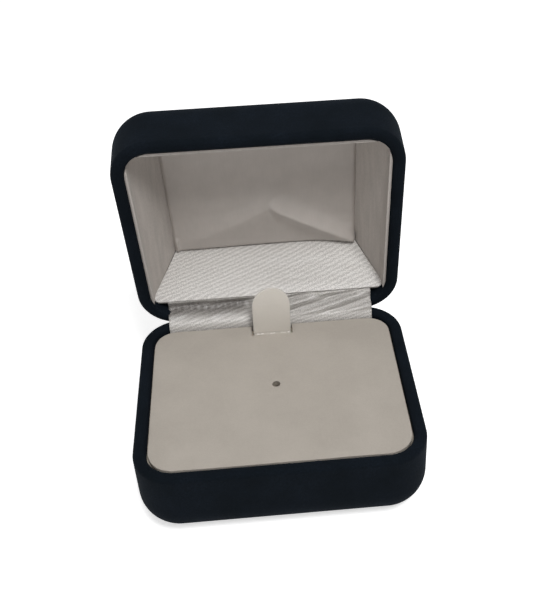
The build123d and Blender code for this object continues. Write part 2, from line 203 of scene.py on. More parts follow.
def along_route(route, share):
    """Point at this share of a smooth line through a route's points."""
    place = min(max(share, 0), 1) * (len(route) - 1)
    index = min(int(place), len(route) - 2)
    part = place - index
    here, there = route[index], route[index + 1]
    before, after = route[max(index - 1, 0)], route[min(index + 2, len(route) - 1)]
    return 0.5 * (2 * here + (there - before) * part
                  + (2 * before - 5 * here + 4 * there - after) * part ** 2
                  + (3 * here - before - 3 * there + after) * part ** 3)


def wander(x, y, z, size):
    """Smooth noise of about one, for places in millimetres and a feature size in millimetres."""
    return noise.noise(Vector((x / size, y / size, z / size)))


# Materials
def add_node(tree, kind, settings=None, output=0):
    """Add a shader node, set its options, set or link its inputs, and hand back one output."""
    made = tree.nodes.new("ShaderNode" + kind)
    for key, value in (settings or {}).items():
        if isinstance(value, bpy.types.NodeSocket):
            tree.links.new(value, made.inputs[key])
        elif isinstance(key, str) and hasattr(made, key):
            setattr(made, key, value)
        else:
            made.inputs[key].default_value = value
    return made.outputs[output]


def per_mm(millimetres):
    """Texture scale for features of this size, on coordinates in metres."""
    return 1 / (millimetres * MM)


def start_material(name, settings):
    """Principled material with its uniform values on the shader's own sockets."""
    material = bpy.data.materials.new(name)
    material.use_nodes = True
    tree = material.node_tree
    shader = tree.nodes["Principled BSDF"]
    for key, value in settings.items():
        shader.inputs[key].default_value = value
    return material, tree, shader


def link_inputs(tree, node, sources):
    """Link sockets to a node's inputs, by name."""
    for name, source in sources.items():
        tree.links.new(source, node.inputs[name])


def seen_ray(tree):
    """1 for a ray that shows the background itself: seen straight, mirrored or through glass."""
    camera = add_node(tree, "LightPath", output="Is Camera Ray")
    glossy = add_node(tree, "LightPath", output="Is Glossy Ray")
    through = add_node(tree, "LightPath", output="Is Transmission Ray")
    seen = add_node(tree, "Math", {"operation": "MAXIMUM", 0: camera, 1: glossy})
    return add_node(tree, "Math", {"operation": "MAXIMUM", 0: seen, 1: through})


def velvet_material(colours):
    """Nylon velvet glued over the shells."""
    # Short dense pile: no gloss, a faint blue sheen at grazing angles, nap that lies in patches.
    material, tree, shader = start_material("nylon velvet", {
        "Roughness": 0.95,
        "Specular IOR Level": 0.05,
        "Sheen Weight": 0.06,
        "Sheen Roughness": 0.4,
        "Sheen Tint": linear("4A5666"),
    })
    place = add_node(tree, "TexCoord", output="Object")
    patches = add_node(tree, "TexNoise", {
        "Vector": place, "Scale": per_mm(9.0), "Detail": 4.0, "Roughness": 0.55,
    })
    nap = add_node(tree, "MapRange", {"Value": patches, "From Min": 0.35, "From Max": 0.68})
    # The real pile is 0.1 mm across, drawn at 0.4 mm so that it shows.
    pile = add_node(tree, "TexNoise", {
        "Vector": place, "Scale": per_mm(0.4), "Detail": 2.0, "Roughness": 0.7,
    })
    tips = add_node(tree, "MapRange", {"Value": pile, "From Min": 0.3, "From Max": 0.75})
    brushed = add_node(tree, "Math", {"operation": "MULTIPLY", 0: nap, 1: tips})
    cloth = add_node(tree, "Mix", {
        "data_type": "RGBA", 0: brushed, 6: (*colours.velvet, 1), 7: (*colours.velvet_nap, 1),
    }, output=2)
    # Pale lint caught in the pile, a few tenths of a millimetre across, in a few places.
    cells = add_node(tree, "TexVoronoi", {"Vector": place, "Scale": per_mm(5.5), "Randomness": 1.0})
    speck = add_node(tree, "MapRange", {"Value": cells, "From Min": 0.045, "From Max": 0.03})
    areas = add_node(tree, "TexNoise", {
        "Vector": place, "Scale": per_mm(14.0), "Detail": 1.0, "Roughness": 0.55,
    })
    few = add_node(tree, "MapRange", {"Value": areas, "From Min": 0.52, "From Max": 0.6})
    lint = add_node(tree, "Math", {"operation": "MULTIPLY", 0: speck, 1: few})
    faint = add_node(tree, "Math", {"operation": "MULTIPLY", 0: lint, 1: 0.5})
    colour = add_node(tree, "Mix", {"data_type": "RGBA", 0: faint, 6: cloth, 7: linear("8F939B")}, output=2)
    relief = add_node(tree, "Bump", {"Height": pile, "Distance": 0.12 * MM, "Strength": 0.7})
    link_inputs(tree, shader, {"Base Color": colour, "Normal": relief})
    return material


def flock_material(name, shade, light):
    """Electrostatic flock: a dead matt, slightly mottled surface like suede."""
    # Fine stiff fibres standing on end, pale, with soft mottling and a few pressed marks.
    material, tree, shader = start_material(name, {
        "Roughness": 0.98,
        "Specular IOR Level": 0.1,
        "Sheen Weight": 0.08,
        "Sheen Roughness": 0.6,
        "Sheen Tint": linear("D8D2CA"),
    })
    place = add_node(tree, "TexCoord", output="Object")
    broad = add_node(tree, "TexNoise", {
        "Vector": place, "Scale": per_mm(12.0), "Detail": 3.0, "Roughness": 0.55,
    })
    # Fibres are 0.02 mm, drawn as 0.35 mm tufts.
    tufts = add_node(tree, "TexNoise", {
        "Vector": place, "Scale": per_mm(0.35), "Detail": 3.0, "Roughness": 0.75,
    })
    broad_share = add_node(tree, "Math", {"operation": "MULTIPLY", 0: broad, 1: 0.55})
    mottle = add_node(tree, "Math", {"operation": "MULTIPLY_ADD", 0: tufts, 1: 0.45, 2: broad_share})
    tone = add_node(tree, "MapRange", {"Value": mottle, "From Min": 0.38, "From Max": 0.62})
    colour = add_node(tree, "Mix", {"data_type": "RGBA", 0: tone, 6: (*shade, 1), 7: (*light, 1)}, output=2)
    relief = add_node(tree, "Bump", {"Height": tufts, "Distance": 0.1 * MM, "Strength": 0.55})
    link_inputs(tree, shader, {"Base Color": colour, "Normal": relief})
    return material


def crease_material(colours):
    """Flocked card cracked along a fold."""
    # White card fibres show through the broken flock in short specks along the middle of the strip.
    material, tree, shader = start_material("cracked flocked card", {
        "Roughness": 0.95,
        "Specular IOR Level": 0.15,
    })
    place = add_node(tree, "TexCoord", output="Object")
    drawn = add_node(tree, "Mapping", {"Vector": place, "Scale": (0.55, 1.0, 1.0)})
    flakes = add_node(tree, "TexNoise", {
        "Vector": drawn, "Scale": per_mm(0.55), "Detail": 2.0, "Roughness": 0.6,
    })
    cracked = add_node(tree, "MapRange", {"Value": flakes, "From Min": 0.5, "From Max": 0.6})
    uv = add_node(tree, "TexCoord", output="UV")
    along = add_node(tree, "SeparateXYZ", {"Vector": uv}, output="Y")
    from_middle = add_node(tree, "Math", {"operation": "SUBTRACT", 0: along, 1: 0.5})
    distance = add_node(tree, "Math", {"operation": "ABSOLUTE", 0: from_middle})
    band = add_node(tree, "MapRange", {"Value": distance, "From Min": 0.22, "From Max": 0.06})
    broken = add_node(tree, "Math", {"operation": "MULTIPLY", 0: band, 1: cracked})
    colour = add_node(tree, "Mix", {
        "data_type": "RGBA", 0: broken, 6: (*colours.flock, 1), 7: linear("E6E3DE"),
    }, output=2)
    relief = add_node(tree, "Bump", {"Height": flakes, "Distance": 0.06 * MM, "Strength": 0.5})
    link_inputs(tree, shader, {"Base Color": colour, "Normal": relief})
    return material


def card_edge_material():
    """Cut edge of white-cored card."""
    # Paler than the flocked faces, with the fibres of the board showing.
    material, tree, shader = start_material("cut card edge", {
        "Roughness": 0.85,
        "Specular IOR Level": 0.25,
    })
    place = add_node(tree, "TexCoord", output="Object")
    fibres = add_node(tree, "TexNoise", {
        "Vector": place, "Scale": per_mm(0.3), "Detail": 3.0, "Roughness": 0.55,
    })
    tone = add_node(tree, "MapRange", {"Value": fibres, "From Min": 0.35, "From Max": 0.65})
    colour = add_node(tree, "Mix", {
        "data_type": "RGBA", 0: tone, 6: linear("C9C3BB"), 7: linear("DEDAD4"),
    }, output=2)
    relief = add_node(tree, "Bump", {"Height": fibres, "Distance": 0.05 * MM, "Strength": 0.5})
    link_inputs(tree, shader, {"Base Color": colour, "Normal": relief})
    return material


def satin_material(name, colours, cut_mm, twill_mm, relief_mm, roughness, fold=None):
    """Polyester satin with a diagonal twill line, on the cloth's own UVs."""
    # Smooth filament yarn floats in diagonal lines that catch the light, with fine threads between them.
    material, tree, shader = start_material(name, {
        "Roughness": roughness,
        "Specular IOR Level": 0.5,
        "Sheen Weight": 0.2,
        "Sheen Roughness": 0.35,
        "Anisotropic": 0.4,
    })
    uv = add_node(tree, "TexCoord", output="UV")
    flat = add_node(tree, "Mapping", {"Vector": uv, "Scale": (*cut_mm, 1.0)})
    slanted = add_node(tree, "Mapping", {"Vector": flat, "Rotation": (0.0, 0.0, TWILL_SLANT)})
    twill = add_node(tree, "TexWave", {
        "Vector": slanted, "bands_direction": "Y", "Scale": WAVE_BAND / twill_mm,
        "Distortion": 1.6, "Detail": 3.0, "Detail Scale": 1.5,
    }, output="Fac")
    # Yarn floats 0.4 mm wide and 0.6 mm long lie along the twill line and break it up.
    drawn = add_node(tree, "Mapping", {"Vector": slanted, "Scale": (0.7, 1.0, 1.0)})
    floats = add_node(tree, "TexNoise", {"Vector": drawn, "Scale": 2.4, "Detail": 2.0})
    # Threads are 0.15 mm apart, drawn about 0.3 mm wide so that they show.
    threads = add_node(tree, "TexNoise", {"Vector": flat, "Scale": 3.6, "Detail": 3.0})
    weave = add_node(tree, "Math", {"operation": "MULTIPLY", 0: twill, 1: 0.09})
    weave = add_node(tree, "Math", {"operation": "MULTIPLY_ADD", 0: floats, 1: 0.23, 2: weave})
    weave = add_node(tree, "Math", {"operation": "MULTIPLY_ADD", 0: threads, 1: 0.68, 2: weave})
    # Painted highlight and shade: the colour follows the weave's height, paler on the raised floats and
    # darker in the valleys, over the threads' random tone.
    raised = add_node(tree, "MapRange", {"Value": weave, "From Min": 0.43, "From Max": 0.57})
    colour = add_node(tree, "Mix", {
        "data_type": "RGBA", 0: raised, 6: (*colours.satin_tone_and_valley_shade, 1), 7: (*colours.satin, 1),
    }, output=2)
    if fold:
        # A darker tone stands in for the shade deep in the fold, strongest between the twill lines
        # and towards the left.
        middle, reach = fold
        up = add_node(tree, "SeparateXYZ", {"Vector": uv}, output="Y")
        drift = add_node(tree, "Math", {"operation": "SUBTRACT", 0: floats, 1: 0.5})
        up = add_node(tree, "Math", {"operation": "MULTIPLY_ADD", 0: drift, 1: 0.16, 2: up})
        off = add_node(tree, "Math", {"operation": "SUBTRACT", 0: up, 1: middle})
        distance = add_node(tree, "Math", {"operation": "ABSOLUTE", 0: off})
        band = add_node(tree, "MapRange", {"Value": distance, "From Min": reach, "From Max": reach * 0.3})
        across = add_node(tree, "SeparateXYZ", {"Vector": uv}, output="X")
        leftwards = add_node(tree, "MapRange", {
            "Value": across, "From Min": 0.5, "From Max": 0.34, "To Min": 0.25, "To Max": 1.0,
        })
        depth = add_node(tree, "Math", {"operation": "MULTIPLY", 0: band, 1: leftwards})
        lines = add_node(tree, "MapRange", {"Value": weave, "From Min": 0.37, "From Max": 0.6})
        shaded = add_node(tree, "Mix", {
            "data_type": "RGBA", 0: lines, 6: linear("4A4643"), 7: linear("8A8682"),
        }, output=2)
        colour = add_node(tree, "Mix", {"data_type": "RGBA", 0: depth, 6: colour, 7: shaded}, output=2)
    relief = add_node(tree, "Bump", {"Height": weave, "Distance": relief_mm * MM, "Strength": 0.9})
    link_inputs(tree, shader, {"Base Color": colour, "Normal": relief})
    return material


def lining_material(colours):
    """Smooth satin paper on the card walls."""
    # Calendered paper-backed satin: even, low gloss, faint vertical streaks from the rollers.
    material, tree, shader = start_material("satin lining paper", {
        "Roughness": 0.55,
        "Specular IOR Level": 0.4,
        "Sheen Weight": 0.1,
    })
    place = add_node(tree, "TexCoord", output="Object")
    drawn = add_node(tree, "Mapping", {"Vector": place, "Scale": (1.0, 1.0, 0.12)})
    streaks = add_node(tree, "TexNoise", {
        "Vector": drawn, "Scale": per_mm(1.2), "Detail": 3.0, "Roughness": 0.55,
    })
    grain = add_node(tree, "TexNoise", {
        "Vector": place, "Scale": per_mm(0.5), "Detail": 2.0, "Roughness": 0.55,
    })
    streak_share = add_node(tree, "Math", {"operation": "MULTIPLY", 0: streaks, 1: 0.6})
    mottle = add_node(tree, "Math", {"operation": "MULTIPLY_ADD", 0: grain, 1: 0.4, 2: streak_share})
    tone = add_node(tree, "MapRange", {"Value": mottle, "From Min": 0.35, "From Max": 0.65})
    dark = [channel * 0.82 for channel in colours.lining]
    colour = add_node(tree, "Mix", {
        "data_type": "RGBA", 0: tone, 6: (*dark, 1), 7: (*colours.lining, 1),
    }, output=2)
    relief = add_node(tree, "Bump", {"Height": mottle, "Distance": 0.03 * MM, "Strength": 0.4})
    link_inputs(tree, shader, {"Base Color": colour, "Normal": relief})
    return material


def ceiling_material(colours):
    """Thin plain satin stretched over wadding."""
    # The same yarn woven finer, so the cloth reads smooth, with gloss along its folds.
    material, tree, shader = start_material("thin plain satin", {
        "Roughness": 0.42,
        "Specular IOR Level": 0.5,
        "Sheen Weight": 0.2,
        "Sheen Roughness": 0.3,
    })
    uv = add_node(tree, "TexCoord", output="UV")
    box_low, box_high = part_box("lid_ceiling_satin")
    spread = ((box_high.x - box_low.x) / MM, (box_high.z - box_low.z) / MM, 1.0)
    flat = add_node(tree, "Mapping", {"Vector": uv, "Scale": spread})
    # Threads finer than 0.1 mm, drawn as soft streaks 0.45 mm wide, under clouds of 4 mm.
    drawn = add_node(tree, "Mapping", {"Vector": flat, "Scale": (1.0, 0.12, 1.0)})
    threads = add_node(tree, "TexNoise", {"Vector": drawn, "Scale": 2.2, "Detail": 2.0})
    cloud = add_node(tree, "TexNoise", {"Vector": flat, "Scale": 0.25, "Detail": 4.0})
    thread_share = add_node(tree, "Math", {"operation": "MULTIPLY", 0: threads, 1: 0.3})
    weave = add_node(tree, "Math", {"operation": "MULTIPLY_ADD", 0: cloud, 1: 0.7, 2: thread_share})
    tone = add_node(tree, "MapRange", {"Value": weave, "From Min": 0.3, "From Max": 0.7})
    dark = [channel * 0.9 for channel in colours.lining]
    colour = add_node(tree, "Mix", {
        "data_type": "RGBA", 0: tone, 6: (*dark, 1), 7: (*colours.lining, 1),
    }, output=2)
    relief = add_node(tree, "Bump", {"Height": weave, "Distance": 0.03 * MM, "Strength": 0.35})
    link_inputs(tree, shader, {"Base Color": colour, "Normal": relief})
    return material


def greyboard_material():
    """Recycled greyboard."""
    # Pressed waste paper: matt, warm grey, with flecks and short fibres.
    material, tree, shader = start_material("greyboard", {"Roughness": 0.9, "Specular IOR Level": 0.2})
    place = add_node(tree, "TexCoord", output="Object")
    fibres = add_node(tree, "TexNoise", {
        "Vector": place, "Scale": per_mm(0.6), "Detail": 5.0, "Roughness": 0.7,
    })
    tone = add_node(tree, "MapRange", {"Value": fibres, "From Min": 0.3, "From Max": 0.7})
    colour = add_node(tree, "Mix", {
        "data_type": "RGBA", 0: tone, 6: linear("8D857A"), 7: linear("B5ADA1"),
    }, output=2)
    relief = add_node(tree, "Bump", {"Height": fibres, "Distance": 0.06 * MM, "Strength": 0.6})
    link_inputs(tree, shader, {"Base Color": colour, "Normal": relief})
    return material


def foam_material():
    """Open-cell polyurethane foam."""
    # Cells about half a millimetre across, cream white, each cell a pit darkened with painted shade inside
    # a pale rim.
    material, tree, shader = start_material("open-cell foam", {
        "Roughness": 0.95,
        "Specular IOR Level": 0.15,
        "Subsurface Weight": 0.1,
        "Subsurface Scale": 0.5 * MM,
    })
    place = add_node(tree, "TexCoord", output="Object")
    cells = add_node(tree, "TexVoronoi", {"Vector": place, "Scale": per_mm(0.55)})
    # Painted shade: darker towards each cell's middle, where the pit is deepest.
    tone = add_node(tree, "MapRange", {"Value": cells, "From Min": 0.0, "From Max": 0.6})
    colour = add_node(tree, "Mix", {
        "data_type": "RGBA", 0: tone, 6: linear("B8B1A0"), 7: linear("E6E1D3"),
    }, output=2)
    relief = add_node(tree, "Bump", {"Height": cells, "Distance": 0.2 * MM, "Strength": 0.8})
    link_inputs(tree, shader, {"Base Color": colour, "Normal": relief})
    return material


def plastic_material():
    """Injection-moulded black polystyrene."""
    # Low gloss with a fine spark-eroded grain and a soft orange peel.
    material, tree, shader = start_material("moulded polystyrene", {"Roughness": 0.45, "IOR": 1.59})
    place = add_node(tree, "TexCoord", output="Object")
    grain = add_node(tree, "TexNoise", {
        "Vector": place, "Scale": per_mm(0.25), "Detail": 3.0, "Roughness": 0.6,
    })
    peel = add_node(tree, "TexNoise", {
        "Vector": place, "Scale": per_mm(3.0), "Detail": 2.0, "Roughness": 0.55,
    })
    rough = add_node(tree, "MapRange", {
        "Value": peel, "From Min": 0.3, "From Max": 0.7, "To Min": 0.38, "To Max": 0.55,
    })
    tone = add_node(tree, "MapRange", {"Value": grain, "From Min": 0.3, "From Max": 0.7})
    colour = add_node(tree, "Mix", {
        "data_type": "RGBA", 0: tone, 6: linear("17191D"), 7: linear("24272C"),
    }, output=2)
    relief = add_node(tree, "Bump", {"Height": grain, "Distance": 0.02 * MM, "Strength": 0.5})
    link_inputs(tree, shader, {"Base Color": colour, "Roughness": rough, "Normal": relief})
    return material


def zinc_material():
    """Bright zinc-plated spring steel."""
    # Thin plate over rolled strip: bluish metal, rolling lines, duller where it rubs.
    material, tree, shader = start_material("zinc-plated steel", {"Metallic": 1.0, "Roughness": 0.32})
    place = add_node(tree, "TexCoord", output="Object")
    rolled = add_node(tree, "Mapping", {"Vector": place, "Scale": (0.05, 1.0, 1.0)})
    lines = add_node(tree, "TexNoise", {
        "Vector": rolled, "Scale": per_mm(0.15), "Detail": 2.0, "Roughness": 0.55,
    })
    clouds = add_node(tree, "TexNoise", {
        "Vector": place, "Scale": per_mm(2.5), "Detail": 4.0, "Roughness": 0.55,
    })
    worn = add_node(tree, "Math", {"operation": "ADD", 0: lines, 1: clouds})
    rough = add_node(tree, "MapRange", {
        "Value": worn, "From Min": 0.6, "From Max": 1.4, "To Min": 0.24, "To Max": 0.48,
    })
    tone = add_node(tree, "MapRange", {"Value": clouds, "From Min": 0.3, "From Max": 0.7})
    colour = add_node(tree, "Mix", {
        "data_type": "RGBA", 0: tone, 6: linear("A9ABAC"), 7: linear("C9CBCB"),
    }, output=2)
    relief = add_node(tree, "Bump", {"Height": lines, "Distance": 0.01 * MM, "Strength": 0.4})
    link_inputs(tree, shader, {"Base Color": colour, "Roughness": rough, "Normal": relief})
    return material


def dress(nodes, material):
    """Give CAD pieces one finish."""
    for name in nodes:
        mesh = NODES[name].data
        mesh.materials.clear()
        mesh.materials.append(material)
        mesh.shade_smooth()
        mesh.set_sharp_from_angle(angle=math.radians(30))


# Operators
class BOX_OT_velvet(bpy.types.Operator):
    """Cover both shells and the underside patch in navy velvet"""

    bl_idname = "box.velvet"
    bl_label = "Velvet covers"

    def execute(self, context):
        velvet = velvet_material(context.scene.box_colours)
        dress(["base_velvet_cover", "base_velvet_patch", "lid_velvet_cover"], velvet)
        return {"FINISHED"}


class BOX_OT_shells(bpy.types.Operator):
    """Finish the moulded shells under the velvet"""

    bl_idname = "box.shells"
    bl_label = "Moulded shells"

    def execute(self, context):
        dress(["base_shell", "lid_shell"], plastic_material())
        return {"FINISHED"}


class BOX_OT_boards(bpy.types.Operator):
    """Finish the hidden board pieces"""

    bl_idname = "box.boards"
    bl_label = "Boards"

    def execute(self, context):
        boards = ["base_collar", "insert_board", "lid_rear_panel_card", "lid_ceiling_board"]
        dress(boards, greyboard_material())
        return {"FINISHED"}


class BOX_OT_foam(bpy.types.Operator):
    """Make the foam block under the insert"""

    bl_idname = "box.foam"
    bl_label = "Foam block"

    def execute(self, context):
        bm = merged_copy("base_foam_block")
        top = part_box("base_foam_block")[1].z - 0.01 * MM
        rims = [edge for edge in bm.edges if min(vert.co.z for vert in edge.verts) > top]
        bmesh.ops.bevel(bm, geom=rims, offset=0.4 * MM, offset_type="OFFSET", segments=2,
                        profile=0.5, affect="EDGES", material=-1, clamp_overlap=True)
        foam = make_piece(bm, "foam_block", [foam_material()], "base")
        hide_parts("base_foam_block")
        return {"FINISHED"}


class BOX_OT_insert(bpy.types.Operator):
    """Make the flocked facing of the insert, with its soft wandering edge"""

    bl_idname = "box.insert"
    bl_label = "Flocked insert"

    def execute(self, context):
        sizes = context.scene.box_sizes
        bm = merged_copy("insert_flock_facing")
        low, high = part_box("insert_flock_facing")
        top = high.z - 0.01 * MM
        rims = [edge for edge in bm.edges
                if min(vert.co.z for vert in edge.verts) > top
                and any(abs(face.normal.z) < 0.5 for face in edge.link_faces)]
        bmesh.ops.bevel(bm, geom=rims, offset=sizes.flock_round, offset_type="OFFSET", segments=3,
                        profile=0.5, affect="EDGES", material=-1, clamp_overlap=True)
        bmesh.ops.triangulate(bm, faces=bm.faces)
        longest = 1.2 * MM
        for _ in range(4):
            long_edges = [edge for edge in bm.edges if edge.calc_length() > longest]
            bmesh.ops.subdivide_edges(bm, edges=long_edges, cuts=1)
            bmesh.ops.triangulate(bm, faces=[face for face in bm.faces if len(face.verts) > 4])
        middle, extent = (low + high) / 2, high - low
        # The pile only wanders inwards at the edge, and the top rises and falls by a few hundredths.
        top_skin, swell = high.z - 0.35 * MM, 0.06 * MM
        for vert in bm.verts:
            x, y = vert.co.xy / MM
            outer = max(abs(vert.co.x - middle.x) / extent.x, abs(vert.co.y - middle.y) / extent.y)
            edge_share = smoothstep(0.46, 0.5, outer)
            shift = abs(sizes.flock_wave * edge_share * wander(x, y, 3.0, 2.2))
            vert.co.x -= math.copysign(shift, vert.co.x) * min(1, abs(vert.co.x) / high.x)
            vert.co.y -= math.copysign(shift, vert.co.y) * min(1, abs(vert.co.y) / high.y)
            if vert.co.z > top_skin:
                vert.co.z += swell * (wander(x, y, 0.0, 7.0) - 0.5)
        colours = context.scene.box_colours
        flock = flock_material("rayon flock on card", colours.flock_shade, colours.flock)
        facing = make_piece(bm, "insert_facing", [flock], "base", 50)
        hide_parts("insert_flock_facing")
        return {"FINISHED"}


class BOX_OT_tab(bpy.types.Operator):
    """Make the pull tab and the cracked crease at its foot"""

    bl_idname = "box.tab"
    bl_label = "Pull tab"

    def execute(self, context):
        sizes = context.scene.box_sizes
        colours = context.scene.box_colours
        half = sizes.tab_width / 2
        bm = bmesh.new()
        bmesh.ops.create_circle(bm, cap_ends=True, segments=96, radius=half)
        foot = cut_away(bm, (0, 0, 0), (0, -1, 0))
        drawn = bmesh.ops.extrude_edge_only(bm, edges=foot)
        lowered = only(bmesh.types.BMVert, drawn["geom"])
        bmesh.ops.translate(bm, verts=lowered, vec=(0, half - sizes.tab_length, 0))
        bmesh.ops.translate(bm, verts=bm.verts, vec=(0, sizes.tab_length - half, -sizes.tab_thickness / 2))
        bmesh.ops.dissolve_edges(bm, edges=[edge for edge in bm.edges if len(edge.link_faces) == 2])
        raised = bmesh.ops.extrude_face_region(bm, geom=bm.faces[:])
        lifted = only(bmesh.types.BMVert, raised["geom"])
        bmesh.ops.translate(bm, verts=lifted, vec=(0, 0, sizes.tab_thickness))
        bmesh.ops.recalc_face_normals(bm, faces=bm.faces)
        rims = [edge for edge in bm.edges
                if len(edge.link_faces) == 2
                and sum(abs(face.normal.z) > 0.9 for face in edge.link_faces) == 1]
        for face in bm.faces:
            face.material_index = 0 if abs(face.normal.z) > 0.9 else 1
        bmesh.ops.bevel(bm, geom=rims, offset=sizes.tab_edge, offset_type="OFFSET", segments=3,
                        profile=0.5, affect="EDGES", material=1, clamp_overlap=True)
        # The tip drifts a little to the right and the face bows, as folded card does.
        drift, bow = 0.5 * MM, 0.25 * MM
        for vert in bm.verts:
            up = vert.co.y / sizes.tab_length
            vert.co.x += drift * up * up
            vert.co.z += bow * math.sin(math.pi * min(max(up, 0), 1))
        turn = Matrix.Rotation(math.pi / 2 - TAB_LEAN, 4, "X")
        bmesh.ops.transform(bm, matrix=Matrix.Translation(CREASE_LINE) @ turn, verts=bm.verts)
        # Painted light: the insert's flock made paler for the light falling on the tab's upright face.
        flock = flock_material("rayon flock on folded card", colours.tab_painted_lighter_patches, colours.tab)
        tab = make_piece(bm, "pull_tab_card", [flock, card_edge_material()], "tab", 40)
        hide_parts("pull_tab")
        self.crease(sizes, colours)
        return {"FINISHED"}

    def crease(self, sizes, colours):
        """Strip of facing that runs off the insert and up the tab's foot."""
        face_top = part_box("insert_flock_facing")[1].z / MM
        crease_y = CREASE_LINE.y / MM
        front = sizes.tab_thickness / MM / 2
        # Ends and corner of the strip's curve, as (y, z): flat on the insert, then up the tab's face.
        start = Vector((crease_y - 0.9, face_top + 0.015))
        corner = Vector((crease_y - front - 0.06, face_top + 0.1))
        reach = front * math.cos(TAB_LEAN) - 0.7 * math.sin(TAB_LEAN) + 0.1
        end = Vector((crease_y - reach, face_top + 0.5))
        width = sizes.tab_width / MM - 0.3
        bm = sheet_grid(60, 24)
        for vert in bm.verts:
            x, along = vert.co.x * width, vert.co.y + 0.5
            y, z = (1 - along) ** 2 * start + 2 * along * (1 - along) * corner + along ** 2 * end
            crumple = 0.05 * wander(x, along * 4, 1.0, 0.5) * math.sin(math.pi * along)
            vert.co = Vector((x, y - crumple, z + crumple)) * MM
        strip = make_piece(bm, "tab_crease_facing", [crease_material(colours)])
        thicken(strip, 0.08 * MM, 1.0)
        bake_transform(strip)


class BOX_OT_walls(bpy.types.Operator):
    """Line the lid's three card walls"""

    bl_idname = "box.walls"
    bl_label = "Lid walls"

    def execute(self, context):
        lining = lining_material(context.scene.box_colours)
        dress(["lid_front_wall"], lining)
        slope = PANEL_HEAD - PANEL_FOOT
        facing = Vector((0, -slope.z, slope.y)).normalized()
        # The side walls end just behind the rear panel's satin, so that no corner shows past it.
        behind = LID_OPEN @ (PANEL_FOOT - facing * WALL_TUCK)
        sides = {"lid_left_wall": "left_wall_lining", "lid_right_wall": "right_wall_lining"}
        for node, name in sides.items():
            bm = merged_copy(node)
            loop = cut_away(bm, behind, LID_TURN @ -facing)
            bmesh.ops.contextual_create(bm, geom=loop)
            wall = make_piece(bm, name, [lining], "lid", 30)
            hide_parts(node)
        return {"FINISHED"}


class BOX_OT_rear_panel(bpy.types.Operator):
    """Stretch twill satin over the lid's sloping rear panel"""

    bl_idname = "box.rear_panel"
    bl_label = "Rear satin panel"

    def execute(self, context):
        sizes = context.scene.box_sizes
        foot = PANEL_FOOT / MM
        head = PANEL_HEAD / MM
        slope = head - foot
        length = slope.length
        along_dir = slope.normalized()
        out_dir = Vector((0, -along_dir.z, along_dir.y))
        # Half widths at the foot, at the knee and at the head: the corners of the foot are round.
        low_half, knee_half, top_half = 31.5, 31.1, 24.6
        knee = corner = 1.9
        wrap = 1.0
        clearance = 0.12
        bm = sheet_grid(150, 48)
        for vert in bm.verts:
            across, along = vert.co.x * 2, vert.co.y + 0.5
            run = -wrap + along * (length + 2 * wrap)
            flat = min(max(run, 0), length)
            if flat < knee:
                half = low_half
                short = corner - min(flat, corner)
                half -= corner - math.sqrt(max(corner ** 2 - short ** 2, 0))
            else:
                half = knee_half + (top_half - knee_half) * (flat - knee) / (length - knee)
            side = across * (half + wrap)
            x = min(max(side, -half), half)
            # Past an outline edge the cloth turns down behind the face.
            behind = max(abs(side) - half, 0) + max(-run, 0) + max(run - length, 0)
            rounding = smoothstep(0.0, 0.5, behind)
            behind = min(behind, wrap)
            crown = sizes.panel_crown / MM * (1 - (x / half) ** 4) * (1 - (2 * flat / length - 1) ** 4)
            ripple = 0.05 * wander(x, flat * 2.5, 5.0, 4.0)
            place = foot + along_dir * flat + out_dir * (crown + ripple + clearance - behind * rounding)
            vert.co = Vector((x, place.y, place.z)) * MM
        bmesh.ops.transform(bm, matrix=LID_OPEN, verts=bm.verts)
        satin = satin_material("twill satin on card", context.scene.box_colours, (65.0, 16.9),
                               sizes.twill_pitch / MM, 0.05, 0.42)
        panel = make_piece(bm, "rear_panel_satin", [satin], "lid", 60)
        thicken(panel, sizes.satin_thickness * 0.5, -1.0)
        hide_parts("lid_rear_panel_satin")
        return {"FINISHED"}


